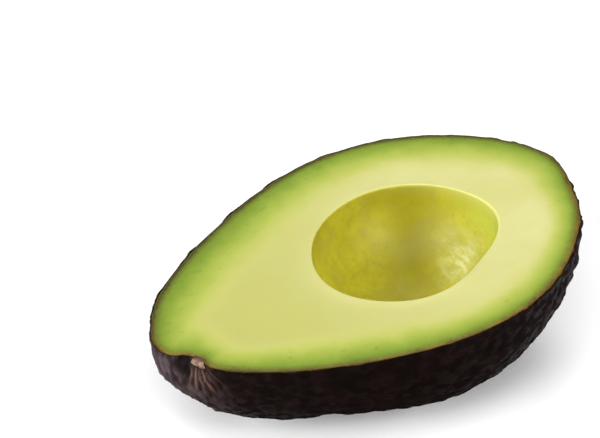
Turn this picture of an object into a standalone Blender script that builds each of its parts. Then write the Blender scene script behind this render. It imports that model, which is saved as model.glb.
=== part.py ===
"""Half of a pear-shaped avocado, cut lengthwise through the stem, resting on its skin.

Three pieces: the flesh with the hollow left by the seed, the skin around it, and the stub of
the stem. They are modelled in the fruit's own frame: the knife's cut is the plane z = 0, the
fruit lies below it, -X is the stem end and +X the blossom end. The empty "rest" then tips that
frame into the pose in which the half lies on its flattened belly.
"""
import math

import bmesh
import bpy
from mathutils import Matrix, Vector

# The flesh, in metres: along the cut, from its middle to one side, and below the cut.
LENGTH = 0.0985
HALF_WIDTH = 0.0328
DEPTH = 0.0335
# How full the fruit is at a share s of its length, from -1 at the stem end to +1 at the
# blossom end: the factors of 1, s, s^2 and so on, for the width and for the depth.
WIDTH_FULLNESS = (1.0, 0.22, -0.155, -0.18)
DEPTH_FULLNESS = (1.0, 0.37, -0.18, -0.66, 0.16)
# Both ends lean this far towards +Y.
END_LEAN = 0.0017

# The skin's thickness, and the gap between touching pieces.
SKIN = 0.0010
FIT_GAP = 0.0003

# The seed's hollow: half its length, half its width, its depth, and the place of its middle.
SEED_HALF_LENGTH = 0.0205
SEED_HALF_WIDTH = 0.0175
SEED_DEPTH = 0.0170
SEED_X = 0.0072
SEED_Y = -0.0015

# The stem's stub: its place, as an angle round the rim from the stem end's tip towards -Y,
# its radius, and how far it reaches into the flesh and out past the skin.
STEM_TURN = math.radians(18)
STEM_RADIUS = 0.0022
STEM_SINK = 0.0013
STEM_PROUD = 0.0006
STEM_EDGE = 0.0005

# At rest: how far the blossom end tips up, and how much of the belly is pressed flat.
PITCH = math.radians(4.6)
FLATTENING = 0.0013

# Fineness of the meshes: round the fruit, along it, and round the stub.
ROUND_STEPS = 48
LENGTH_STEPS = 44
SEED_STEPS = 40
STEM_STEPS = 24
# A point nearer than this to a cutting plane counts as on it.
ON_PLANE = 0.000001

TILT = Matrix.Rotation(-PITCH, 3, "Y")
DOWN = TILT.transposed() @ Vector((0, 0, -1))


def fullness(factors, s):
    """The value at s of the polynomial with these factors, lowest power first."""
    return sum(factor * s ** power for power, factor in enumerate(factors))


def egg_point(s, across, down, offset):
    """The fruit's surface, grown by offset, over the point (across, down, s) of a unit sphere."""
    x = (LENGTH / 2 + offset) * s
    y = (HALF_WIDTH + offset) * fullness(WIDTH_FULLNESS, s) * across + END_LEAN * abs(s) ** 3
    z = (DEPTH + offset) * fullness(DEPTH_FULLNESS, s) * down
    return Vector((x, y, z))


def egg(offset):
    """A closed bmesh of the whole fruit, its surface grown by offset."""
    bm = bmesh.new()
    bmesh.ops.create_uvsphere(bm, u_segments=ROUND_STEPS, v_segments=LENGTH_STEPS, radius=1)
    for vert in bm.verts:
        across, down, s = vert.co
        vert.co = egg_point(s, across, down, offset)
    return bm


def slice_off(bm, point, normal):
    """Cuts away what lies beyond the plane, on its normal's side, and caps the cut."""
    parts = bm.verts[:] + bm.edges[:] + bm.faces[:]
    cut = bmesh.ops.bisect_plane(bm, geom=parts, dist=ON_PLANE, plane_co=point, plane_no=normal,
                                 use_snap_center=True, clear_outer=True)
    edges = [part for part in cut["geom_cut"] if isinstance(part, bmesh.types.BMEdge)]
    bmesh.ops.contextual_create(bm, geom=edges)


def material(name, colour, roughness):
    """A Principled material with one colour and roughness."""
    made = bpy.data.materials.new(name)
    made.use_nodes = True
    shader = made.node_tree.nodes["Principled BSDF"]
    shader.inputs["Base Color"].default_value = (*colour, 1)
    shader.inputs["Roughness"].default_value = roughness
    shader.inputs["Metallic"].default_value = 0
    return made


def add_object(name, bm, rest, finish=None):
    """Turns a bmesh into a smooth-shaded object under the resting frame."""
    bmesh.ops.recalc_face_normals(bm, faces=bm.faces)
    mesh = bpy.data.meshes.new(name)
    bm.to_mesh(mesh)
    bm.free()
    mesh.shade_smooth()
    mesh.set_sharp_from_angle(angle=math.radians(35))
    made = bpy.data.objects.new(name, mesh)
    bpy.context.scene.collection.objects.link(made)
    made.parent = rest
    if finish is None:
        made.hide_render = True
        made.display_type = "WIRE"
    else:
        mesh.materials.append(finish)
    return made


def subtract(target, cutter):
    """Cuts the cutter's shape out of the target with an exact Boolean."""
    cut = target.modifiers.new("cut_" + cutter.name, "BOOLEAN")
    cut.operation = "DIFFERENCE"
    cut.solver = "EXACT"
    cut.object = cutter


def resting_level():
    """How far down, from the fruit's origin, the flattened belly lies."""
    whole = egg(FIT_GAP + SKIN)
    lowest = max(vert.co.dot(DOWN) for vert in whole.verts)
    whole.free()
    return lowest - FLATTENING


def half_fruit(offset, level):
    """The half below the cut, grown by offset, with its belly flat at this level."""
    bm = egg(offset)
    slice_off(bm, (0, 0, 0), (0, 0, 1))
    slice_off(bm, DOWN * level, DOWN)
    return bm


def seed():
    """The seed: a closed ellipsoid centred on the cut."""
    bm = bmesh.new()
    bmesh.ops.create_uvsphere(bm, u_segments=SEED_STEPS, v_segments=SEED_STEPS, radius=1)
    size = Matrix.Diagonal((SEED_HALF_WIDTH, SEED_DEPTH, SEED_HALF_LENGTH, 1))
    lengthwise = Matrix(((0, 0, 1, 0), (1, 0, 0, 0), (0, 1, 0, 0), (0, 0, 0, 1)))
    place = Matrix.Translation((SEED_X, SEED_Y, 0))
    bmesh.ops.transform(bm, matrix=place @ lengthwise @ size, verts=bm.verts)
    return bm


def stem_frame():
    """The stub's frame: its origin on the flesh's edge, and +Z straight out of the fruit."""
    def edge(turn):
        return egg_point(-math.cos(turn), -math.sin(turn), 0, 0)

    step = math.radians(0.5)
    along = edge(STEM_TURN + step) - edge(STEM_TURN - step)
    out = Vector((along.y, -along.x, 0)).normalized()
    up = Vector((0, 0, 1))
    turn = Matrix((up.cross(out), up, out)).transposed()
    return Matrix.Translation(edge(STEM_TURN)) @ turn.to_4x4()


def peg(radius, sink, reach):
    """A round peg from sink below the flesh's edge to reach above it, in the stub's frame."""
    bm = bmesh.new()
    height = sink + reach
    middle = Matrix.Translation((0, 0, height / 2 - sink))
    bmesh.ops.create_cone(bm, cap_ends=True, segments=STEM_STEPS, radius1=radius,
                          radius2=radius, depth=height, matrix=middle)
    return bm


def stem(finish, rest):
    """The stub: a short round peg with a softened outer end, split by the same cut."""
    reach = FIT_GAP + SKIN + STEM_PROUD
    bm = peg(STEM_RADIUS, STEM_SINK, reach)
    outer_end = [edge for edge in bm.edges if all(vert.co.z > 0 for vert in edge.verts)]
    bmesh.ops.bevel(bm, geom=outer_end, offset=STEM_EDGE, offset_type="OFFSET", segments=3,
                    profile=0.5, affect="EDGES", material=-1)
    bmesh.ops.transform(bm, matrix=stem_frame(), verts=bm.verts)
    slice_off(bm, (0, 0, 0), (0, 0, 1))
    return add_object("stem", bm, rest, finish)


def stem_socket(rest):
    """The cutter for the stub's socket, a gap larger than the stub."""
    reach = FIT_GAP + SKIN + STEM_PROUD
    bm = peg(STEM_RADIUS + FIT_GAP, STEM_SINK + FIT_GAP, reach)
    bmesh.ops.transform(bm, matrix=stem_frame(), verts=bm.verts)
    return add_object("stem_socket", bm, rest)


def resting_frame(level):
    """The empty that tips the fruit and puts the middle of its footprint at the origin."""
    whole = half_fruit(FIT_GAP + SKIN, level)
    tipped = [TILT @ vert.co for vert in whole.verts]
    whole.free()
    middle_x = (min(point.x for point in tipped) + max(point.x for point in tipped)) / 2
    middle_y = (min(point.y for point in tipped) + max(point.y for point in tipped)) / 2
    rest = bpy.data.objects.new("rest", None)
    bpy.context.scene.collection.objects.link(rest)
    rest.matrix_world = Matrix.Translation((-middle_x, -middle_y, level)) @ TILT.to_4x4()
    return rest


def build():
    """Makes the three pieces and the cutters that shape them."""
    for old in list(bpy.data.objects):
        bpy.data.objects.remove(old, do_unlink=True)
    level = resting_level()
    rest = resting_frame(level)
    socket = stem_socket(rest)

    flesh_finish = material("flesh", (0.730, 0.716, 0.262), 0.45)
    flesh = add_object("flesh", half_fruit(0, level - SKIN - FIT_GAP), rest, flesh_finish)
    subtract(flesh, add_object("seed", seed(), rest))
    subtract(flesh, socket)

    hollow = egg(FIT_GAP)
    slice_off(hollow, DOWN * (level - SKIN), DOWN)
    skin_finish = material("skin", (0.018, 0.012, 0.010), 0.42)
    skin = add_object("skin", half_fruit(FIT_GAP + SKIN, level), rest, skin_finish)
    subtract(skin, add_object("skin_hollow", hollow, rest))
    subtract(skin, socket)

    stem(material("stem", (0.445, 0.262, 0.156), 0.75), rest)


build()
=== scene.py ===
# %% [markdown]
# # Half an avocado, resting on its skin
#
# The fruit was cut lengthwise through its stem, and the seed was lifted out. Three pieces are
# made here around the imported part: the pebbled skin, the flesh with the seed's hollow, and the
# stub of the stem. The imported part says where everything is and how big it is. This script only
# makes the surfaces that it can't hold.

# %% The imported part
import math

import bmesh
import bpy
from mathutils import Matrix, Vector, noise
from mathutils.kdtree import KDTree


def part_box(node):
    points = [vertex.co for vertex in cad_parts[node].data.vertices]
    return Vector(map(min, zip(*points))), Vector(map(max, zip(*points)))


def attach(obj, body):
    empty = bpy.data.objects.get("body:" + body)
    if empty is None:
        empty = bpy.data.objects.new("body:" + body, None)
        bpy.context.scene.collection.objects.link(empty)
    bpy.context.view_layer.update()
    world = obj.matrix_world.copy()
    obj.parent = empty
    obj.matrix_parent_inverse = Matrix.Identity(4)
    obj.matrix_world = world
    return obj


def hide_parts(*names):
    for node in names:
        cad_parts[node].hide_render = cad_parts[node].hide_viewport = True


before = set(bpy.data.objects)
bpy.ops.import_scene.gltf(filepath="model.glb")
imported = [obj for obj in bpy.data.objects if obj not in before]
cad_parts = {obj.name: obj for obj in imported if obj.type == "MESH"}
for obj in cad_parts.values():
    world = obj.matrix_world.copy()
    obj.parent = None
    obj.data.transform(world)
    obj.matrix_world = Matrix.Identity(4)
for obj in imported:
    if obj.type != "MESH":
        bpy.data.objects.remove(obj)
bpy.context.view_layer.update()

MM = 0.001

# %% [markdown]
# ## The fruit's form
#
# A pear shape could be drawn as a profile and turned, but this fruit is flatter below than it
# is wide, and its neck is slimmer than its belly. So the form is a formula: a point on a unit
# ball goes to a point on the fruit, stretched by how full the fruit is at that share of its
# length. Every piece below asks the same formula, each with its own offset, so they nest.

# %% The form, in the fruit's own frame with the cut at z = 0
LENGTH = 98.5 * MM
HALF_WIDTH = 32.8 * MM
DEPTH = 33.5 * MM
WIDTH_FULLNESS = (1.0, 0.22, -0.155, -0.18)
DEPTH_FULLNESS = (1.0, 0.37, -0.18, -0.66, 0.16)
END_LEAN = 1.7 * MM
FIT_GAP = 0.3 * MM
SKIN = 1.0 * MM


def fullness(factors, s):
    """The value at s of the polynomial with these factors, lowest power first."""
    return sum(factor * s ** power for power, factor in enumerate(factors))


def fruit_point(seat, offset):
    """Where a point of the unit ball goes on the fruit's surface, grown by offset."""
    s = seat.x
    x = (LENGTH / 2 + offset) * s
    y = (HALF_WIDTH + offset) * fullness(WIDTH_FULLNESS, s) * seat.y + END_LEAN * abs(s) ** 3
    z = (DEPTH + offset) * fullness(DEPTH_FULLNESS, s) * seat.z
    return Vector((x, y, z))


def seat_at(turn, dip):
    """The unit ball's point at this turn round the rim from the stem end, and dip below the cut."""
    flat = math.cos(dip)
    return Vector((-math.cos(turn) * flat, math.sin(turn) * flat, -math.sin(dip)))


print("fruit's rim at the stem end, mm:", fruit_point(seat_at(0, 0), 0) / MM)

# %% [markdown]
# No real fruit follows a formula exactly. This one is slimmer along the far edge of the cut,
# and it swells and sinks by a millimetre or two at the neck and at the blossom end. Points moved
# by hand would no longer nest, so each of these is a soft hill in the two angles, turn and dip.
# The same hills place everything below that is stronger on one side of the fruit: their middles
# are turns in degrees round the rim, from 0 at the stem end's tip to 180 at the blossom end's.

# %% Soft hills round the rim
def smooth_step(low, high, value):
    """0 below low, 1 above high, and an S between."""
    share = min(max((value - low) / (high - low), 0.0), 1.0)
    return share * share * (3 - 2 * share)


def turn_between(turn, middle):
    """How far a turn is from another, the short way round."""
    return abs((turn - middle + math.pi) % math.tau - math.pi)


def hill(away, reach):
    """1 in the middle, falling to 0 beyond a reach."""
    return math.exp(-(away / reach) ** 2)


def by_turn(turn, middle, reach):
    """1 at this turn round the rim, falling to 0 beyond a reach; both are in degrees."""
    return hill(turn_between(turn, math.radians(middle)), math.radians(reach))


def by_dip(dip, middle, reach):
    """1 at this dip below the cut, falling to 0 beyond a reach; both are in degrees."""
    return hill(dip - math.radians(middle), math.radians(reach))


print("a hill at its middle, its reach and twice that:", [round(hill(away, 1), 2) for away in range(3)])

# %% Small departures from the form
# The far edge's middle turn and reach, and the dips between which it fades, in degrees.
FAR_EDGE = (145, 66)
FAR_EDGE_FADE = (4, 20)
SLIM = 0.55 * MM
THIN = 0.45 * MM
# Each swell's turn, dip and reach, in degrees, and its height.
SWELLS = (
    (0, 7, 12, 1.5 * MM),
    (4, 30, 15, -1.8 * MM),
    (-32, 48, 16, 0.7 * MM),
    (199, 0, 10, -0.9 * MM),
    (207, 24, 17, 2.0 * MM),
    (230, 54, 24, -1.3 * MM),
)


def turn_and_dip(seat):
    """The turn round the rim and the dip below the cut of a point of the unit ball."""
    return math.atan2(seat.y, -seat.x), math.asin(max(-1.0, min(1.0, -seat.z)))


def far_edge(seat):
    """1 at the cut's far edge, from the neck round to the blossom end, and 0 elsewhere."""
    turn, dip = turn_and_dip(seat)
    fade_start, fade_end = map(math.radians, FAR_EDGE_FADE)
    return by_turn(turn, *FAR_EDGE) * (1 - smooth_step(fade_start, fade_end, dip))


def departure(seat):
    """How far the fruit stands out from the form at a point of the unit ball."""
    turn, dip = turn_and_dip(seat)
    out = -SLIM * far_edge(seat)
    for middle, depth, reach, height in SWELLS:
        out += height * by_turn(turn, middle, reach) * by_dip(dip, depth, reach)
    return out


def plump_point(seat, offset):
    """A point of the fruit with its departures from the form."""
    return fruit_point(seat, offset + departure(seat))


for middle, depth, reach, height in SWELLS:
    stands_out = departure(seat_at(math.radians(middle), math.radians(depth)))
    print("turn", middle, "dip", depth, "stands out, mm:", round(stands_out / MM, 2))

# %% [markdown]
# ## The resting frame
#
# The half lies on its belly with the blossom end tipped up a little. The pieces could be made
# lying flat and turned afterwards, but a finished piece keeps its place in its own mesh. So one
# matrix places every point. Its tilt is the part's own, and its move comes from the packed
# skin's box, so these pieces land on it.

# %% The tilt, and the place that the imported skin's box gives
PITCH = math.radians(4.6)
TILT = Matrix.Rotation(-PITCH, 4, "Y")
skin_low, skin_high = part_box("skin")
turns = [math.radians(step) for step in range(0, 360, 2)]
dips = [math.radians(step) for step in range(0, 91, 3)]
shell = [TILT @ fruit_point(seat_at(turn, dip), FIT_GAP + SKIN) for turn in turns for dip in dips]
shell_low = Vector(min(point[axis] for point in shell) for axis in range(3))
shell_high = Vector(max(point[axis] for point in shell) for axis in range(3))
move = (skin_low + skin_high - shell_low - shell_high) / 2
move.z = skin_high.z - shell_high.z
PLACE = Matrix.Translation(move) @ TILT
CUT_POINT = PLACE @ Vector((0, 0, 0))
CUT_NORMAL = PLACE.to_3x3() @ Vector((0, 0, 1))
print("skin's sides, packed less formula, mm:", (skin_high - skin_low - shell_high + shell_low) / MM)
print("belly pressed flat by, mm:", round(-(shell_low.z + move.z) / MM, 2))

SOFT_CORNER = 0.35 * MM


def pressed(point, level):
    """The point, kept above this level as if the piece were soft where it meets the floor."""
    above = point.z - level
    point.z = level + (above + math.sqrt(above ** 2 + SOFT_CORNER ** 2)) / 2
    return point


# %% [markdown]
# ## The stem's pit
#
# Where the stem was, the skin sinks into a shallow pit, with a smaller dent beside it whose
# darkness is painted shade, and the flesh behind sinks with them. A pit cut out of each piece on
# its own would leave gaps between them, so one function gives it, measured from the stem's axis,
# and every piece asks it.

# %% The stem's axis and the pit round it
PIT_DEPTH = 2.0 * MM
PIT_REACH = 2.2 * MM
PIT_RISE = 0.7 * MM
PIT_WIDER = 1.7
DENT_ALONG = 3.3 * MM
DENT_DOWN = 1.9 * MM
DENT_REACH = 1.9 * MM
DENT_TALL = 1.5
DENT_DEPTH = 1.3 * MM
stem_low, stem_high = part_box("stem")
stem_middle = PLACE.inverted() @ ((stem_low + stem_high) / 2)


def off_stem(turn):
    """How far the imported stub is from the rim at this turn."""
    return (fruit_point(seat_at(turn, 0), 0) - stem_middle).xy.length


STEM_TURN = min((math.radians(step / 2) for step in range(-90, 90)), key=off_stem)
rim_before = fruit_point(seat_at(STEM_TURN - 0.01, 0), 0)
rim_after = fruit_point(seat_at(STEM_TURN + 0.01, 0), 0)
STEM_POINT = (rim_before + rim_after) / 2
ALONG_RIM = (rim_after - rim_before).normalized()
STEM_OUT = ALONG_RIM.cross(Vector((0, 0, -1)))
NECK_POINT = fruit_point(seat_at(math.radians(4), math.radians(12)), 0)
print("stem's turn, degrees:", round(math.degrees(STEM_TURN), 1), "its axis:", STEM_OUT)


def from_stem(point):
    """Where a point of the fruit lies across the stem's axis: along the rim, and up."""
    away = point - STEM_POINT
    return away.dot(ALONG_RIM), away.z


def dent_depth(point):
    """The small dent beside the pit."""
    along, high = from_stem(point)
    away = math.hypot(along - DENT_ALONG, (high + DENT_DOWN) / DENT_TALL)
    return DENT_DEPTH * hill(away, DENT_REACH)


def pit(point):
    """How far the surface sinks at this point of the fruit; the pit is wider on one side."""
    if point.x > 0:
        return 0.0
    along, high = from_stem(point)
    along /= PIT_WIDER if along > 0 else 1.0
    return PIT_DEPTH * hill(math.hypot(along, high - PIT_RISE), PIT_REACH) + dent_depth(point)


print("the skin sinks at the stem's axis by, mm:", round(pit(STEM_POINT) / MM, 2))

# %% [markdown]
# ## The skin
#
# The skin is a bowl one millimetre thick, with pebbles, low lumps and, near the stem, folds.
# Pebbles could be painted as bump, but then its outline would stay smooth, and the knife would
# leave a smooth edge. So they are real relief. The bowl starts as a cube cut into small squares
# and pushed out round, which spreads its faces far more evenly than a globe of meridians does.
# The noise that bends the pebbles starts somewhere new in each run unless it is given a seed.

# %% A round ball of even four-sided faces
SKIN_CELLS = 150


def quad_ball(cells):
    """A unit ball made from a cube: each side is cut into cells, then pushed out round."""
    ball = bmesh.new()
    bmesh.ops.create_cube(ball, size=2)
    bmesh.ops.subdivide_edges(ball, edges=ball.edges, cuts=cells - 1, use_grid_fill=True)
    for vert in ball.verts:
        spread = Vector(math.tan(value * math.pi / 4) for value in vert.co)
        vert.co = spread.normalized()
    return ball


print("squares on the whole ball:", 6 * SKIN_CELLS ** 2)

# %% The skin's pebbles
noise.seed_set(1)
PEBBLE = 3.3 * MM
PEBBLE_BEND = 0.35
PEBBLE_EDGE = 0.62
PEBBLE_HEIGHT = 0.62 * MM


def pebbles(point, size):
    """Low domes of uneven height and width, as a number from 0 between them to 1 on top."""
    bent = point / size + PEBBLE_BEND * noise.noise_vector(point / size * 1.3)
    distances, centres = noise.voronoi(bent, distance_metric="DISTANCE", exponent=2)
    height = 0.45 + 0.55 * noise.cell(centres[0] * 7.3)
    dome = max(0.0, 1 - (distances[0] / PEBBLE_EDGE) ** 2)
    return height * dome * smooth_step(0, 1, dome) / max(dome, 0.01)


millimetres = [Vector((step * MM, 0, 0)) for step in range(8)]
print("pebbles, one mm apart:", [round(pebbles(point, PEBBLE), 2) for point in millimetres])

# %% The relief of the skin
STRETCH = 0.72
LUMP = 9.0 * MM
LUMP_HEIGHT = 0.30 * MM
GRAIN = 1.1 * MM
GRAIN_HEIGHT = 0.07 * MM
FOLDS = 38
FOLD_RISE = 3.5 * MM
FOLD_REACH = 12 * MM
FOLD_FAN = 0.48
FOLD_HEIGHT = 0.75 * MM
WRINKLE = 0.42 * MM
WRINKLE_SIZE = Vector((1.3, 1.3, 5)) * MM


def folds(point):
    """The folds that hang below the stem, from 0 between them to 1 on top, and how near they are."""
    along, high = from_stem(point)
    reach = math.hypot(along, high)
    if point.x > 0 or reach > FOLD_REACH:
        return 0.0, 0.0
    sway = noise.noise(point / (2.2 * MM)) * 2.2
    angle = math.atan2(along, FOLD_RISE - high)
    strong = smooth_step(-0.3, 0.3, noise.noise(Vector((angle * 5, 3.0, 0))))
    near = smooth_step(1.0 * MM, 2.0 * MM, reach) * (1 - smooth_step(3.5 * MM, 9.5 * MM, reach))
    near *= hill(angle, FOLD_FAN)
    top = (0.5 + 0.5 * math.sin(FOLDS * angle + sway)) ** 3.0
    return top * near * (0.35 + 0.65 * strong), near


def relief(point):
    """The skin's height above its plain form, and its pebble, neck, fold and crease there."""
    ridge, near = folds(point)
    neck = 1 - smooth_step(7 * MM, 19 * MM, (point - NECK_POINT).length)
    rough = 0.75 + 0.8 * smooth_step(4 * MM, 40 * MM, point.x)
    stretched = Vector((point.x * STRETCH, point.y, point.z))
    dome = pebbles(stretched, PEBBLE) * (1 - 0.7 * neck) * rough
    lump = noise.fractal(point / LUMP, 0.7, 2.0, 2) * LUMP_HEIGHT
    grain = noise.fractal(point / GRAIN, 0.6, 2.1, 3) * GRAIN_HEIGHT
    upright = Vector(point[axis] / WRINKLE_SIZE[axis] for axis in range(3))
    crease = noise.fractal(upright, 0.7, 2.0, 2)
    height = dome * PEBBLE_HEIGHT + lump + grain + crease * neck * WRINKLE
    return height + (ridge - 0.4 * near) * FOLD_HEIGHT, dome, neck, ridge, crease


print("the skin's height on the neck, mm:", round(relief(NECK_POINT)[0] / MM, 2))

# %% Cutting a bmesh, and values kept on its verts
ON_PLANE = 1e-7


def cut_away(bm, point, normal, near=ON_PLANE):
    """Cuts away what lies beyond a plane, on its normal's side; gives what lies on the cut."""
    every = bm.verts[:] + bm.edges[:] + bm.faces[:]
    cut = bmesh.ops.bisect_plane(bm, geom=every, dist=near, plane_co=point, plane_no=normal,
                                 clear_outer=True)
    return cut["geom_cut"]


def add_layers(bm, names):
    """New float values on each vert, by name; a finish reads them later."""
    return {name: bm.verts.layers.float.new(name) for name in names}


def mark(vert, layers, **values):
    """Sets some of a vert's values."""
    for name, value in values.items():
        vert[layers[name]] = value


# %% The skin's outer surface
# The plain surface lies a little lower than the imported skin, so that the pebbles rise to it.
OUTER = FIT_GAP + SKIN - 0.45 * MM
DEEPEST = -0.3 * MM
# How much of the unit ball is kept above the cut until the relief is on.
SPARE = 0.08
# Middle turns and reaches, in degrees: the tip's dust and painted sheen, the dull and shiny sides.
DUST_AND_SHEEN_SIDE = (3, 13)
DULL_SIDE = (292, 48)
BRIGHT_SIDE = (216, 30)

skin_bm = quad_ball(SKIN_CELLS)
cut_away(skin_bm, (0, 0, SPARE), (0, 0, 1), near=0)
seat_layer = skin_bm.verts.layers.float_vector.new("seat")
skin_layers = add_layers(skin_bm, ("relief", "neck", "dent", "bloom", "fold", "crease", "brown",
                                   "shine", "rind"))


def rim_turn(vert):
    """How far round the rim a vert of the skin sits."""
    return turn_and_dip(vert[seat_layer])[0]


for vert in skin_bm.verts:
    vert[seat_layer] = vert.co
    vert.co = plump_point(vert.co, OUTER)
skin_bm.normal_update()
for vert in skin_bm.verts:
    turn = rim_turn(vert)
    height, dome, neck, ridge, crease = relief(vert.co)
    # Values for the finish: the dent's painted shade, the tip's dust and painted sheen, and the shine.
    dent = dent_depth(vert.co) / DENT_DEPTH
    bloom = neck * by_turn(turn, *DUST_AND_SHEEN_SIDE)
    shine = 1 - 0.9 * by_turn(turn, *DULL_SIDE) + 0.5 * by_turn(turn, *BRIGHT_SIDE)
    mark(vert, skin_layers, relief=dome, neck=neck, dent=dent, bloom=bloom, fold=ridge)
    mark(vert, skin_layers, crease=crease, shine=shine, rind=1)
    thin = far_edge(vert[seat_layer])
    height = max(height, DEEPEST) * (1 - 0.4 * thin) - THIN * thin
    vert.co += vert.normal * height - STEM_OUT * pit(vert.co)
for vert in skin_bm.verts:
    vert.co = pressed(PLACE @ vert.co, 0)
cut_away(skin_bm, CUT_POINT, CUT_NORMAL)
print("skin's outer faces:", len(skin_bm.faces))

# %% [markdown]
# The knife left a narrow edge between the skin's outside and the flesh. A second bowl could be
# fitted inside and the gap filled, but the cut's ragged ring of verts is already there. So the
# edge is drawn inwards from it in three rings, a little uneven, and then the bowl's inner wall
# follows down to its middle, which leaves the skin a closed shell.

# %% Rings drawn out one from the last
def parts_of(made, kind):
    """The verts, edges or faces among an operator's results."""
    return [part for part in made if isinstance(part, kind)]


def next_ring(bm, edges, place_vert):
    """Extrudes a ring of edges, places each new vert, and returns the new ring's edges."""
    made = bmesh.ops.extrude_edge_only(bm, edges=edges)["geom"]
    new_verts = set(parts_of(made, bmesh.types.BMVert))
    for vert in new_verts:
        place_vert(vert)
    return [edge for edge in parts_of(made, bmesh.types.BMEdge) if set(edge.verts) <= new_verts]


def close_pole(bm, edges):
    """Merges the last ring, which has shrunk to a point, into one vert."""
    last = sorted({vert for edge in edges for vert in edge.verts}, key=lambda vert: vert.co[:])
    bmesh.ops.pointmerge(bm, verts=last, merge_co=last[0].co)


def ring_dip(count, rings):
    """How far below the cut a ring lies: close together at the cut, wider apart lower down."""
    return math.pi / 2 * (count / rings) ** 1.7


def wall_point(seat, offset, level):
    """A point of a nested bowl's wall at rest: sunk at the stem's pit, pressed at the belly."""
    point = plump_point(seat, offset)
    return pressed(PLACE @ (point - STEM_OUT * pit(point)), level)


print("the third of 26 rings dips by, degrees:", round(math.degrees(ring_dip(3, 26)), 2))

# %% The cut edge and the inner wall
EDGE_SHARES = (0.2, 0.5, 1.0)
EDGE_UNEVEN = 0.05 * MM
WALL_RINGS = 26
# Where the flesh's edge has browned: middle turns and reaches, in degrees.
BROWNED = ((250, 70), (-12, 20))


def browned(turn):
    """1 where the flesh's edge has browned most, on the near side, and 0 on the far side."""
    return max(by_turn(turn, *side) for side in BROWNED)


ring = [edge for edge in skin_bm.edges if edge.is_boundary]
covered = 0
for share in EDGE_SHARES:
    step = (share - covered) / (1 - covered)
    covered = share

    def on_edge(vert):
        """Between the cut pebbles and the flesh."""
        inner = wall_point(seat_at(rim_turn(vert), 0), FIT_GAP, SKIN)
        uneven = noise.noise(inner / (1.3 * MM)) * EDGE_UNEVEN * (1 - share)
        vert.co = vert.co.lerp(inner, step) + CUT_NORMAL * uneven
        mark(vert, skin_layers, rind=1 - share, brown=browned(rim_turn(vert)))

    ring = next_ring(skin_bm, ring, on_edge)
for count in range(1, WALL_RINGS + 1):
    dip = ring_dip(count, WALL_RINGS)

    def on_wall(vert):
        """Down the bowl's inner wall."""
        vert.co = wall_point(seat_at(rim_turn(vert), dip), FIT_GAP, SKIN)

    ring = next_ring(skin_bm, ring, on_wall)
close_pole(skin_bm, ring)
print("skin's open edges:", sum(edge.is_boundary for edge in skin_bm.edges))

# %% [markdown]
# A finished bmesh becomes an object at the origin, smooth-shaded, with its faces outwards. It
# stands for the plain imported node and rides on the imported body. All three pieces need the same
# steps, so they are one function.

# %% Turning a bmesh into a piece
def piece(name, bm, node):
    """An object from a bmesh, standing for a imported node."""
    bmesh.ops.recalc_face_normals(bm, faces=bm.faces)
    mesh = bpy.data.meshes.new(name)
    bm.to_mesh(mesh)
    bm.free()
    mesh.shade_smooth()
    made = bpy.data.objects.new(name, mesh)
    bpy.context.scene.collection.objects.link(made)
    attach(made, "root")
    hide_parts(node)
    mesh.calc_loop_triangles()
    print(name, "triangles:", len(mesh.loop_triangles))
    return made


skin = piece("pebbled_skin", skin_bm, "skin")

# %% [markdown]
# ## The flesh
#
# The flesh is drawn as rings that all share the same turns. They run from the rim across the
# cut, over a small rounded lip and down the hollow to its middle, and from the rim again down
# the outside, inside the skin. A turned shape wouldn't do, because no ring is round. Extruding
# each ring from the last keeps one skin of faces with no seams.

# %% The flesh's rim and the seed's hollow
TOUCH = FIT_GAP - 0.02 * MM
SEED_MIDDLE = Vector((7.2, -1.5, 0)) * MM
SEED_SIZE = Vector((20.5, 17.5, 17.0)) * MM
LIP = 0.26 * MM
LIP_SWAY = 0.30 * MM
LIP_SIDE = math.radians(206)
# Each lump's turn and reach, in degrees, and its height.
HOLLOW_LUMPS = (
    (292, 22, 0.45 * MM),
    (240, 25, -1.4 * MM),
    (190, 22, 0.6 * MM),
    (25, 25, -0.3 * MM),
    (100, 38, 1.0 * MM),
)


def rim_point(turn):
    """The flesh's edge at the cut."""
    point = plump_point(seat_at(turn, 0), TOUCH)
    return point - STEM_OUT * pit(point)


def hollow_point(turn, dip, grow):
    """The seed's hollow, grown by a little."""
    seat = seat_at(turn, dip)
    for middle, reach, height in HOLLOW_LUMPS:
        grow = grow + height * by_turn(turn, middle, reach) * math.cos(dip)
    return SEED_MIDDLE + Vector(seat[axis] * (SEED_SIZE[axis] + grow) for axis in range(3))


def lip(turn):
    """The radius of the hollow's rounded lip: crisp, but softer towards the blossom end."""
    return LIP + LIP_SWAY * smooth_step(0.6, 1.0, math.cos(turn - LIP_SIDE))


hollow_ends = hollow_point(math.pi, 0, 0) - hollow_point(0, 0, 0)
print("hollow's length at the cut, mm:", round(hollow_ends.length / MM, 1))

# %% Unevenness of the cut and of the hollow
def knife_height(point):
    """How far the cut face stands off flat: long faint drags of the knife, and a slow roll."""
    drag = noise.fractal(Vector((point.x / 16, point.y / 1.5, 0)) / MM, 0.6, 2.0, 3)
    roll = noise.noise(point / (14 * MM))
    return (0.012 * drag + 0.10 * roll) * MM


def hollow_swell(point):
    """How far the hollow stands off its plain form."""
    slow = noise.noise(point / (9 * MM) + Vector((3, 5, 1)))
    fine = noise.fractal(point / (2.6 * MM), 0.7, 2.0, 3)
    return (0.30 * slow + 0.05 * fine) * MM


print("cut face off flat beside the hollow, mm:", round(knife_height(SEED_MIDDLE) / MM, 3))
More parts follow.
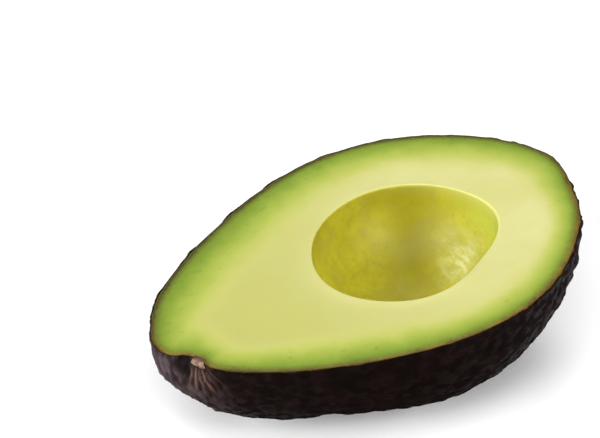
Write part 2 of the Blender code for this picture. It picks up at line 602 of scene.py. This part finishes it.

# %% [markdown]
# The hollow's wall isn't one colour. It has pale streaks towards the blossom end, and painted
# light and shade: a yellow-green pool of painted light high on the wall there, a painted highlight
# along the lip there, and a band of painted shade on its far side. Each is a value kept on the
# verts, because a noise alone wouldn't know which side it is on.

# %% Pale streaks, painted light and painted shade on the hollow's wall
# Middle turns or dips and reaches, in degrees.
PALE_STREAKS_TURN = (186, 25)
PALE_STREAKS_DIP = (45, 15)
LIP_HIGHLIGHT_TURN = (190, 55)
PAINTED_WALL_LIGHT_TURN = (190, 30)
PAINTED_WALL_LIGHT_DIP = (10, 14)
LATE_OLIVE = (216, 28)
OLIVE_START = math.radians(0.5)
# The band of painted shade: its middle, the way it runs, and half its length and width; then
# the broad painted shade.
SHADE_FROM_MIDDLE = Vector((9.8, 10.6, 0)) * MM
SHADE_HEADING = (0.55, 0.83)
BAND_HALF_LENGTH = 11 * MM
BAND_HALF_WIDTH = 5.5 * MM
BAND_DARK = 0.40
BROAD_BACK = 4.0 * MM
BROAD_REACH = 13.0 * MM
BROAD_DARK = 0.55


def film(turn, dip):
    """1 where the hollow's wall has pale streaks, towards the blossom end."""
    return by_turn(turn, *PALE_STREAKS_TURN) * by_dip(dip, *PALE_STREAKS_DIP)


def lip_highlight_at(turn):
    """1 where the lip has a painted highlight, towards the blossom end."""
    return by_turn(turn, *LIP_HIGHLIGHT_TURN)


def zest(turn, dip):
    """1 where a yellow-green pool of painted light lies high up on the hollow's wall, beside the pale
    streaks.
    """
    return by_turn(turn, *PAINTED_WALL_LIGHT_TURN) * by_dip(dip, *PAINTED_WALL_LIGHT_DIP)


def shade(point):
    """How much painted shade the hollow's wall has: most in a soft band on its far side."""
    away = point - SEED_MIDDLE - SHADE_FROM_MIDDLE
    heading_x, heading_y = SHADE_HEADING
    along = away.x * heading_x + away.y * heading_y
    across = away.x * heading_y - away.y * heading_x
    band = hill(math.hypot(along / BAND_HALF_LENGTH, across / BAND_HALF_WIDTH), 1)
    broad = hill(math.hypot(away.x + BROAD_BACK, away.y), BROAD_REACH)
    return BAND_DARK * band + BROAD_DARK * broad


def olive(turn, dip):
    """0 on the lip and 1 in the hollow; the blossom end's wall stays pale for longer."""
    late = by_turn(turn, *LATE_OLIVE)
    return smooth_step(OLIVE_START, OLIVE_START + math.radians(2 + 3 * late), dip)


print("shade at the hollow's middle:", round(shade(SEED_MIDDLE), 2))

# %% The flesh from its rim to the lip
TURNS = 480
FACE_RINGS = 72
HALO_SIDE = (315, 75)
HALO_REACH = 3 * MM
EDGE_FALL = 0.16 * MM
EDGE_FALL_REACH = 0.45 * MM

flesh_bm = bmesh.new()
flesh_layers = add_layers(flesh_bm, ("brown", "zest", "turn", "share", "edge", "hollow", "film",
                                     "shade", "halo", "glow"))
turn_layer = flesh_layers["turn"]
bmesh.ops.create_circle(flesh_bm, cap_ends=False, segments=TURNS, radius=1)
for vert in flesh_bm.verts:
    vert[turn_layer] = math.atan2(vert.co.y, vert.co.x)
    vert.co = rim_point(vert[turn_layer])
rim_ring = flesh_bm.edges[:]

ring = rim_ring
for count in range(1, FACE_RINGS + 1):
    share = count / FACE_RINGS

    def on_face(vert):
        """Across the cut, from the rim to the lip."""
        turn = vert[turn_layer]
        rim = rim_point(turn)
        flat = rim.lerp(hollow_point(turn, 0, lip(turn)), share)
        from_rim = (flat - rim).length
        to_lip = (hollow_point(turn, 0, 0) - flat).length
        mark(vert, flesh_layers, halo=hill(to_lip, HALO_REACH) * by_turn(turn, *HALO_SIDE))
        ease = smooth_step(0, 0.06, 1 - share) * smooth_step(0, 1.2 * MM, from_rim)
        flat.z = knife_height(flat) * ease - EDGE_FALL * hill(from_rim, EDGE_FALL_REACH)
        vert.co = flat

    ring = next_ring(flesh_bm, ring, on_face)
print("faces across the cut:", len(flesh_bm.faces))

# %% The lip and the hollow
LIP_RINGS = 6
HOLLOW_RINGS = 54
LIP_HIGHLIGHT_DIP = (0, 7)

for count in range(1, LIP_RINGS + 1):
    bend = math.pi / 2 * count / LIP_RINGS

    def on_lip(vert):
        """Round the lip, into the hollow."""
        turn = vert[turn_layer]
        radius = lip(turn)
        vert.co = hollow_point(turn, 0, radius * (1 - math.sin(bend)))
        vert.co.z = -radius * (1 - math.cos(bend))
        # Painted highlight on the lip towards the blossom end; the olive wall gives way to it there.
        glow = lip_highlight_at(turn)
        olive_share = smooth_step(0.3, 0.9, count / LIP_RINGS)
        mark(vert, flesh_layers, glow=glow, hollow=olive_share * (1 - glow))

    ring = next_ring(flesh_bm, ring, on_lip)
for count in range(1, HOLLOW_RINGS + 1):
    share = count / HOLLOW_RINGS

    def on_hollow(vert):
        """Down the hollow."""
        turn = vert[turn_layer]
        first_dip = math.asin(lip(turn) / SEED_SIZE.z)
        dip = first_dip + (math.pi / 2 - first_dip) * share
        plain = hollow_point(turn, dip, 0)
        inwards = (SEED_MIDDLE - plain).normalized()
        vert.co = plain + inwards * hollow_swell(plain) * smooth_step(0, 0.2, share)
        # The lip's painted highlight fades down the wall; the wall also keeps its painted light and
        # shade.
        painted_light = lip_highlight_at(turn)
        mark(vert, flesh_layers, hollow=max(olive(turn, dip), 1 - painted_light))
        mark(vert, flesh_layers, glow=painted_light * by_dip(dip, *LIP_HIGHLIGHT_DIP), film=film(turn, dip))
        mark(vert, flesh_layers, shade=shade(plain), zest=zest(turn, dip))

    ring = next_ring(flesh_bm, ring, on_hollow)
close_pole(flesh_bm, ring)
for vert in flesh_bm.verts:
    vert.co = PLACE @ vert.co
print("faces with the hollow:", len(flesh_bm.faces))

# %% The outside of the flesh
OUTSIDE_RINGS = 28

ring = rim_ring
for count in range(1, OUTSIDE_RINGS + 1):
    dip = ring_dip(count, OUTSIDE_RINGS)

    def on_outside(vert):
        """Down the outside, against the skin."""
        vert.co = wall_point(seat_at(vert[turn_layer], dip), TOUCH, SKIN + FIT_GAP - TOUCH)

    ring = next_ring(flesh_bm, ring, on_outside)
close_pole(flesh_bm, ring)
print("flesh's open edges:", sum(edge.is_boundary for edge in flesh_bm.edges))

# %% [markdown]
# Under the skin the flesh is green, and it pales towards the seed. A ramp along one axis can't
# follow the rim, and the green band isn't even: it is widest on the far side of the neck, and
# thinnest round the stem. So each point keeps its distance from the skin, as a share of the
# band's width there, for its colour to use.

# %% How deep in the green band each point is
GREEN_BAND = 11.7 * MM
GREEN_SWAY = 4.5 * MM
GREEN_SIDE = math.radians(34)
# How much wider the band is at two places: turn and reach, in degrees, and width.
WIDER_GREEN = ((165, 38, 3.5 * MM), (-16, 24, -6.0 * MM))
RIM_STEPS = TURNS * 4

rim_tree = KDTree(RIM_STEPS)
for count in range(RIM_STEPS):
    rim_tree.insert(PLACE @ rim_point(math.tau * count / RIM_STEPS), count)
rim_tree.balance()
for vert in flesh_bm.verts:
    distance = rim_tree.find(vert.co)[2]
    turn = vert[turn_layer]
    band = GREEN_BAND + GREEN_SWAY * math.cos(turn - GREEN_SIDE)
    for middle, reach, width in WIDER_GREEN:
        band += width * by_turn(turn, middle, reach)
    mark(vert, flesh_layers, share=distance / band, edge=distance / MM, brown=browned(turn))
flesh = piece("avocado_flesh", flesh_bm, "flesh")

# %% [markdown]
# ## The stem's stub
#
# A short plug of pale wood is left in the pit, split by the same knife. It could be the packed
# peg with a better finish, but the real one has shrunk to a torn sliver. So it is a short cone,
# pressed flat, leaned over, cut off just above the cut face, and roughened.

# %% The stub
STUB_RADIUS = 1.9 * MM
STUB_TAPER = 0.86
STUB_SINK = 1.6 * MM
STUB_REACH = 0.25 * MM
STUB_SHIFT = -0.5 * MM
STUB_FLAT = 0.30
STUB_DROP = 0.3 * MM
STUB_LEAN = math.radians(-12)
STUB_TOP = 0.02 * MM
STUB_SLOPE = 0.12
STUB_TORN = 0.10 * MM
STUB_LENGTH = STUB_SINK + STUB_REACH
UP = Vector((0, 0, 1))

stub_bm = bmesh.new()
bmesh.ops.create_cone(stub_bm, cap_ends=True, segments=40, radius1=STUB_RADIUS,
                      radius2=STUB_RADIUS * STUB_TAPER, depth=STUB_LENGTH)
bmesh.ops.subdivide_edges(stub_bm, edges=stub_bm.edges, cuts=6, use_grid_fill=True)
stub_middle = STEM_POINT + STEM_OUT * (STUB_REACH - STUB_SINK) / 2 + ALONG_RIM * STUB_SHIFT
stub_middle -= UP * STUB_DROP
stub_frame = Matrix((UP.cross(STEM_OUT), UP, STEM_OUT)).transposed().to_4x4()
pressed_flat = Matrix.Rotation(STUB_LEAN, 4, "Z") @ Matrix.Diagonal((1, STUB_FLAT, 1, 1))
stub_place = Matrix.Translation(stub_middle) @ stub_frame @ pressed_flat
bmesh.ops.transform(stub_bm, matrix=stub_place, verts=stub_bm.verts)
on_cut = cut_away(stub_bm, STEM_POINT + UP * STUB_TOP, (UP + STEM_OUT * STUB_SLOPE).normalized())
bmesh.ops.contextual_create(stub_bm, geom=parts_of(on_cut, bmesh.types.BMEdge))
bmesh.ops.triangulate(stub_bm, faces=[face for face in stub_bm.faces if len(face.verts) > 4])
stub_bm.normal_update()
stub_layers = add_layers(stub_bm, ("inner",))
for vert in stub_bm.verts:
    torn = noise.fractal(vert.co / (1.1 * MM), 0.6, 2.0, 3) * STUB_TORN
    depth = STUB_REACH - (vert.co - STEM_POINT).dot(STEM_OUT)
    mark(vert, stub_layers, inner=smooth_step(0.25, 0.65, depth / STUB_LENGTH))
    vert.co += vert.normal * torn
for vert in stub_bm.verts:
    vert.co = PLACE @ vert.co
stub = piece("stem_stub", stub_bm, "stem")

# %% [markdown]
# ## Writing shader sums as Python
#
# A finish is a net of nodes. Reading one is easier when its sums look like sums, so a small
# class wraps an output socket: adding or multiplying two of them adds the Math node for it.

# %% A socket that can be used in sums
class Wire:
    """A socket of a finish's nodes; sums written with it become Math nodes."""

    def __init__(self, tree, socket=None):
        self.tree = tree
        self.socket = socket

    def node(self, kind, settings=None, values=None, output=0):
        """Adds a node with its settings and its sockets' values or links; gives one output."""
        made = self.tree.nodes.new(kind)
        for name, value in (settings or {}).items():
            if name == "stops":
                self.set_stops(made.color_ramp, value)
            else:
                setattr(made, name, value)
        for name, value in (values or {}).items():
            if isinstance(value, Wire):
                self.tree.links.new(value.socket, made.inputs[name])
            else:
                made.inputs[name].default_value = value
        return Wire(self.tree, made.outputs[output])

    @staticmethod
    def set_stops(ramp, stops):
        """Gives a colour ramp its stops."""
        while len(ramp.elements) < len(stops):
            ramp.elements.new(1)
        for element, (place, colour) in zip(ramp.elements, stops):
            element.position = place
            element.color = (*colour, 1)

    def math(self, operation, *values):
        """A Math node on these values."""
        return self.node("ShaderNodeMath", {"operation": operation}, dict(enumerate(values)))

    def __add__(self, other):
        return self.math("ADD", self, other)

    def __sub__(self, other):
        return self.math("SUBTRACT", self, other)

    def __rsub__(self, other):
        return self.math("SUBTRACT", other, self)

    def __mul__(self, other):
        return self.math("MULTIPLY", self, other)

    __radd__ = __add__
    __rmul__ = __mul__

    def between(self, low, high, start=0.0, end=1.0):
        """This value eased from start, at low, to end, at high."""
        values = {0: self, 1: low, 2: high, 3: start, 4: end}
        return self.node("ShaderNodeMapRange", {"interpolation_type": "SMOOTHSTEP"}, values)

    def mix(self, first, second):
        """A colour between two, by this value."""
        return self.node("ShaderNodeMix", {"data_type": "RGBA"}, {0: self, 6: first, 7: second}, 2)

    def attribute(self, name):
        """One of the piece's own stored values."""
        return self.node("ShaderNodeAttribute", {"attribute_name": name}, output="Fac")

    def speckle(self, size, detail=2.0, rough=0.5, stretch=(1, 1, 1)):
        """Soft noise whose patches are about this size, in metres, drawn out by stretch."""
        place = self.node("ShaderNodeTexCoord", output="Object")
        scale = tuple(1 / value for value in stretch)
        placed = self.node("ShaderNodeMapping", values={"Vector": place, "Scale": scale})
        values = {"Vector": placed, "Scale": 1 / size, "Detail": detail, "Roughness": rough}
        return self.node("ShaderNodeTexNoise", values=values)


def colour(red, green, blue):
    """A screen colour from 0 to 255 as the light it stands for, with full cover."""
    def light(value):
        share = value / 255
        return share / 12.92 if share < 0.04045 else ((share + 0.055) / 1.055) ** 2.4

    return (light(red), light(green), light(blue), 1)


def finish_of(name, obj):
    """A new finish on a piece: its empty Wire, and its shader."""
    made = bpy.data.materials.new(name)
    made.use_nodes = True
    obj.data.materials.append(made)
    return Wire(made.node_tree), made.node_tree.nodes["Principled BSDF"]


def connect(shader, name, wire):
    """Feeds one of the shader's sockets."""
    wire.tree.links.new(wire.socket, shader.inputs[name])


def set_sockets(shader, values):
    """Sets a shader's sockets that are the same all over."""
    for name, value in values.items():
        shader.inputs[name].default_value = value


def bumps(paint, shader, strength, distance, height):
    """Fine texture in the shader's normal."""
    values = {"Strength": strength, "Distance": distance, "Height": height}
    connect(shader, "Normal", paint.node("ShaderNodeBump", values=values))


print("mid grey as light:", round(colour(128, 128, 128)[0], 3))

# %% [markdown]
# ## The finish of the flesh
#
# Ripe flesh is soft and a little see-through, so light spreads inside it. Its colour runs from
# green under the skin to a pale buttery yellow, with faint streaks lengthwise, dark flecks near
# the skin and a browned edge. A picture laid on it would have to be drawn to fit. Instead the
# values kept on the verts say where each colour goes, and noise breaks up their borders.

# %% The flesh's cut face
paint, shader = finish_of("ripe_flesh", flesh)
FLESH_STOPS = (
    (0.00, (96, 117, 26)),
    (0.14, (110, 133, 34)),
    (0.32, (138, 155, 55)),
    (0.55, (165, 172, 78)),
    (0.80, (180, 181, 100)),
)
blotch = paint.speckle(5 * MM, 3)
streak = paint.speckle(1.6 * MM, 3, 0.6, (6, 1, 1))
depth = paint.attribute("share") + (blotch - 0.5) * 0.24 + (streak - 0.5) * 0.03
stops = [(place, colour(*rgb)[:3]) for place, rgb in FLESH_STOPS]
green = paint.node("ShaderNodeValToRGB", {"stops": stops}, {0: depth}, 0)
fleck = paint.speckle(1.1 * MM, 3, 0.6, (2, 1, 1)).between(0.60, 0.72, 0.0, 0.35)
green = (fleck * depth.between(0.25, 0.75, 1.0, 0.0)).mix(green, colour(92, 112, 34))
place = paint.node("ShaderNodeTexCoord", output="Object")
along = paint.node("ShaderNodeSeparateXYZ", values={0: place}, output=0)
butter = along.between(-42 * MM, 40 * MM).mix(colour(172, 172, 96), colour(194, 192, 130))
butter = streak.between(0.45, 0.75, 0.0, 0.08).mix(butter, colour(166, 160, 88))
cloud = paint.speckle(14 * MM, 2).between(0.35, 0.7, 0.0, 0.3)
butter = cloud.mix(butter, colour(176, 172, 84))
butter = (paint.attribute("halo") * 0.5).mix(butter, colour(202, 198, 134))
face = depth.between(0.5, 1.05).mix(green, butter)
ragged = paint.speckle(0.9 * MM, 3)
from_edge = paint.attribute("edge") + (ragged - 0.5) * 1.2
brown = paint.attribute("brown") * paint.speckle(3 * MM, 3).between(0.38, 0.6, 0.35, 1.0)
inner_edge = brown.mix(colour(84, 84, 30), colour(112, 104, 34))
outer_edge = brown.mix(colour(66, 56, 22), colour(120, 96, 36))
face = from_edge.between(0.3, 1.8, 0.85, 0.0).mix(face, inner_edge)
face = from_edge.between(0.05, 0.65, 1.0, 0.0).mix(face, outer_edge)
print("nodes for the cut face:", len(paint.tree.nodes))

# %% [markdown]
# The hollow held a wet seed. Its wall is more olive, mottled and a little glossier than the cut,
# with painted shade across its far side, and pale streaks and a pool of painted light towards the
# blossom end. Its patches are laid one over another, from the broadest to the finest, each with
# its own size of noise.

# %% The hollow's wall
patchy = paint.speckle(7 * MM, 3, 0.6)
wall = patchy.between(0.35, 0.65).mix(colour(189, 182, 46), colour(174, 165, 38))
dusty = paint.speckle(3.5 * MM, 4, 0.65).between(0.50, 0.66, 0.0, 0.5)
wall = dusty.mix(wall, colour(176, 166, 72))
moss = paint.speckle(2.4 * MM, 4, 0.65).between(0.48, 0.64, 0.0, 0.5)
wall = moss.mix(wall, colour(160, 156, 36))
# Painted shade: a soft dark band across the wall's far side, and a broad one.
wall = paint.attribute("shade").mix(wall, colour(122, 115, 8))
# Painted light: a yellow-green pool high on the wall towards the blossom end.
painted_light = paint.attribute("zest") * patchy.between(0.3, 0.6, 0.8, 1.0)
wall = painted_light.mix(wall, colour(196, 202, 80))
streaky = paint.speckle(1.4 * MM, 4, 0.65, (1, 2.5, 1))
pale = paint.attribute("film") * streaky.between(0.42, 0.62, 0.35, 0.95)
wall = pale.mix(wall, colour(202, 203, 142))
spots = paint.speckle(1.0 * MM, 4, 0.7).between(0.57, 0.72, 0.0, 0.42)
wall = spots.mix(wall, colour(138, 124, 30))
inside = paint.attribute("hollow")
whole = inside.mix(face, wall)
# Painted highlight along the lip towards the blossom end.
whole = (paint.attribute("glow") * 0.7).mix(whole, colour(214, 214, 118))
connect(shader, "Base Color", whole)
print("nodes with the hollow's wall:", len(paint.tree.nodes))

# %% The flesh's gloss, texture and depth
wet = paint.speckle(3 * MM, 3)
connect(shader, "Roughness", 0.50 - inside * 0.06 + (wet - 0.5) * 0.2)
drag = paint.speckle(0.8 * MM, 3, 0.6, (14, 1, 1))
fibre = paint.speckle(0.6 * MM, 4, 0.6)
bumps(paint, shader, 0.12, 0.12 * MM, drag * 0.6 + fibre * 0.4)
set_sockets(shader, {
    "Subsurface Weight": 0.25,
    "Subsurface Radius": (1.0, 0.85, 0.25),
    "Subsurface Scale": 1.0 * MM,
    "Specular IOR Level": 0.2,
})
print("nodes in all:", len(paint.tree.nodes))

# %% [markdown]
# ## The finish of the skin
#
# Ripe skin is a brown so dark that it reads as black. Its pebbles shine a little at the blossom
# end, and one side is dull. Their tops are painted a little lighter than the valleys between them,
# as painted light and shade, and warmer still where they shine, as painted sheen. Near the stem
# it is greyer and creased, partly its own colour and partly painted sheen, dusty and with painted
# sheen at the very tip, with paler folds whose ridges are partly painted highlight, and a dent
# painted dark as shade. Where the knife went through, an olive-brown line runs next to the flesh,
# with dark brown outside it. A thin coat gives the shine, because plain gloss all over would make
# so dark a skin look like wet plastic.

# %% The skin's colours
paint, shader = finish_of("pebbled_rind", skin)
mottle = paint.speckle(4 * MM, 4)
tops = paint.attribute("relief").between(0.2, 0.9)
body = mottle.between(0.35, 0.7).mix(colour(13, 8, 7), colour(21, 12, 11))
# Painted light and shade: pebble tops a little lighter than the valleys between them.
body = (tops * 0.5).mix(body, colour(27, 18, 17))
# Painted sheen: the tops warmer and lighter where the skin shines.
body = (tops * paint.attribute("shine") * 0.2).mix(body, colour(60, 38, 32))
creased = paint.attribute("crease").between(-0.35, 0.35)
# Near the stem: greyer, partly its own colour and partly painted sheen, with wrinkle crests painted
# lighter.
grey = paint.attribute("neck") * mottle.between(0.30, 0.60, 0.35, 1.0)
body = grey.mix(body, creased.mix(colour(32, 22, 22), colour(68, 54, 55)))
# At the stem's tip: dust and painted sheen.
dust_and_sheen_colour = creased.mix(colour(54, 44, 47), colour(88, 76, 82))
body = (paint.attribute("bloom") * mottle.between(0.30, 0.55, 0.6, 1.0)).mix(body, dust_and_sheen_colour)
# Tan folds; their lighter ridges are partly painted highlight.
body = paint.attribute("fold").mix(body, colour(128, 98, 84))
# Painted shade in the dent beside the stem's pit.
dent_shade = paint.attribute("dent") + (mottle - 0.5) * 0.9
body = dent_shade.between(0.05, 0.75, 0.0, 0.9).mix(body, colour(9, 6, 6))
rind = paint.attribute("rind") + (paint.speckle(0.9 * MM, 3) - 0.5) * 0.5
line = paint.attribute("brown").mix(colour(84, 86, 28), colour(112, 88, 34))
cut_edge = rind.between(0.22, 0.50).mix(line, colour(40, 24, 15))
connect(shader, "Base Color", rind.between(0.60, 0.85).mix(cut_edge, body))
print("nodes for the skin's colours:", len(paint.tree.nodes))

# %% The skin's gloss and texture
gloss = paint.speckle(2 * MM, 4)
connect(shader, "Roughness", 0.40 - tops * 0.12 + (gloss - 0.5) * 0.2)
pores = paint.speckle(0.35 * MM, 3, 0.6)
cracks = paint.speckle(1.2 * MM, 4, 0.65)
bumps(paint, shader, 0.35, 0.2 * MM, pores * 0.5 + cracks * 0.8)
connect(shader, "Coat Weight", paint.attribute("shine") * gloss.between(0.44, 0.62, 0.03, 0.14))
set_sockets(shader, {"Specular IOR Level": 0.0, "Coat Roughness": 0.15})
print("nodes in all:", len(paint.tree.nodes))

# %% [markdown]
# ## The finish of the stub
#
# Dry, pale wood, darker in patches and towards the flesh. Real grain runs along the stem, but on
# a sliver this small only its flecks can be seen, so one fine noise gives both the colour's
# flecks and the texture.

# %% The stub's wood
paint, shader = finish_of("dry_stub", stub)
grain = paint.speckle(0.5 * MM, 4, 0.6)
patch = paint.speckle(1.6 * MM, 3)
wood = patch.between(0.42, 0.66).mix(colour(160, 130, 108), colour(100, 72, 54))
wood = paint.attribute("inner").mix(wood, colour(74, 44, 28))
connect(shader, "Base Color", grain.between(0.4, 0.75, 0.0, 0.5).mix(wood, colour(84, 58, 42)))
connect(shader, "Roughness", 0.65 + grain * 0.2)
bumps(paint, shader, 0.5, 0.15 * MM, grain)
print("nodes for the stub:", len(paint.tree.nodes))

# %% [markdown]
# ## Floor, light and camera
#
# A plain white floor and a long lens looking down on the cut. One big lamp would light one side
# and leave the other black, so five broad soft lights stand in a ring, and the strongest are on
# the viewer's side. A small lamp adds glints to the pebbles, and a faint white surround fills in.

# %% Floor
floor_bm = bmesh.new()
bmesh.ops.create_grid(floor_bm, x_segments=1, y_segments=1, size=3)
floor_mesh = bpy.data.meshes.new("floor")
floor_bm.to_mesh(floor_mesh)
floor_bm.free()
floor = bpy.data.objects.new("floor", floor_mesh)
bpy.context.scene.collection.objects.link(floor)
paint, shader = finish_of("white_floor", floor)
set_sockets(shader, {"Base Color": (0.94, 0.94, 0.94, 1), "Roughness": 0.9,
                     "Specular IOR Level": 0.1})
print("floor, m across:", round(floor.dimensions.x, 1))

# %% Camera
HEADING = math.radians(33.43)
LOOK_DOWN = math.radians(36.2)
# How far the camera stands back from the fruit, to the left and raised, in metres.
CAMERA_BACK = 0.43515
CAMERA_LEFT = 0.01497
CAMERA_RAISED = 0.03417

flat = math.cos(LOOK_DOWN)
look = Vector((math.sin(HEADING) * flat, math.cos(HEADING) * flat, -math.sin(LOOK_DOWN)))
right = Vector((math.cos(HEADING), -math.sin(HEADING), 0))
above = right.cross(look)
camera_data = bpy.data.cameras.new("camera")
camera_data.lens = 120
camera_data.sensor_width = 36
camera_data.clip_start = 0.05
camera_data.clip_end = 10
camera = bpy.data.objects.new("camera", camera_data)
bpy.context.scene.collection.objects.link(camera)
stand = look * -CAMERA_BACK - right * CAMERA_LEFT + above * CAMERA_RAISED
facing = Matrix((right, above, -look)).transposed().to_4x4()
camera.matrix_world = Matrix.Translation(stand) @ facing
bpy.context.scene.camera = camera
print("camera, mm:", [round(value / MM) for value in stand])

# %% Light
def soft_light(name, towards, distance, size, watts):
    """A square light at this direction and distance from the fruit, facing it."""
    data = bpy.data.lights.new(name, "AREA")
    data.shape = "SQUARE"
    data.size = size
    data.energy = watts
    made = bpy.data.objects.new(name, data)
    bpy.context.scene.collection.objects.link(made)
    made.location = towards.normalized() * distance
    made.rotation_euler = towards.to_track_quat("Z", "Y").to_euler()


ahead = Vector((look.x, look.y, 0)).normalized()
RING_DISTANCE = 3.2
RING_SIZE = 1.44
# Each light's turn from straight ahead towards the right and its height, in degrees, and watts.
RING = (
    ("behind", 0, 60, 29),
    ("front_right", 135, 32, 63),
    ("front", 180, 60, 46),
    ("front_left", 225, 32, 88),
    ("back_left", 315, 32, 18),
)
for name, round_by, height, watts in RING:
    level = ahead * math.cos(math.radians(round_by)) + right * math.sin(math.radians(round_by))
    towards = level * math.cos(math.radians(height)) + UP * math.sin(math.radians(height))
    soft_light(name, towards, RING_DISTANCE, RING_SIZE, watts)
glint_towards = UP * 0.36 + ahead * 0.35 + right
soft_light("glint", glint_towards, distance=0.9, size=0.08, watts=0.8)
world = bpy.data.worlds.new("surround")
world.use_nodes = True
set_sockets(world.node_tree.nodes["Background"], {"Color": (1, 1, 1, 1), "Strength": 0.03})
bpy.context.scene.world = world
bpy.context.scene.view_settings.view_transform = "Standard"
print("lights:", [light.name for light in bpy.data.lights])
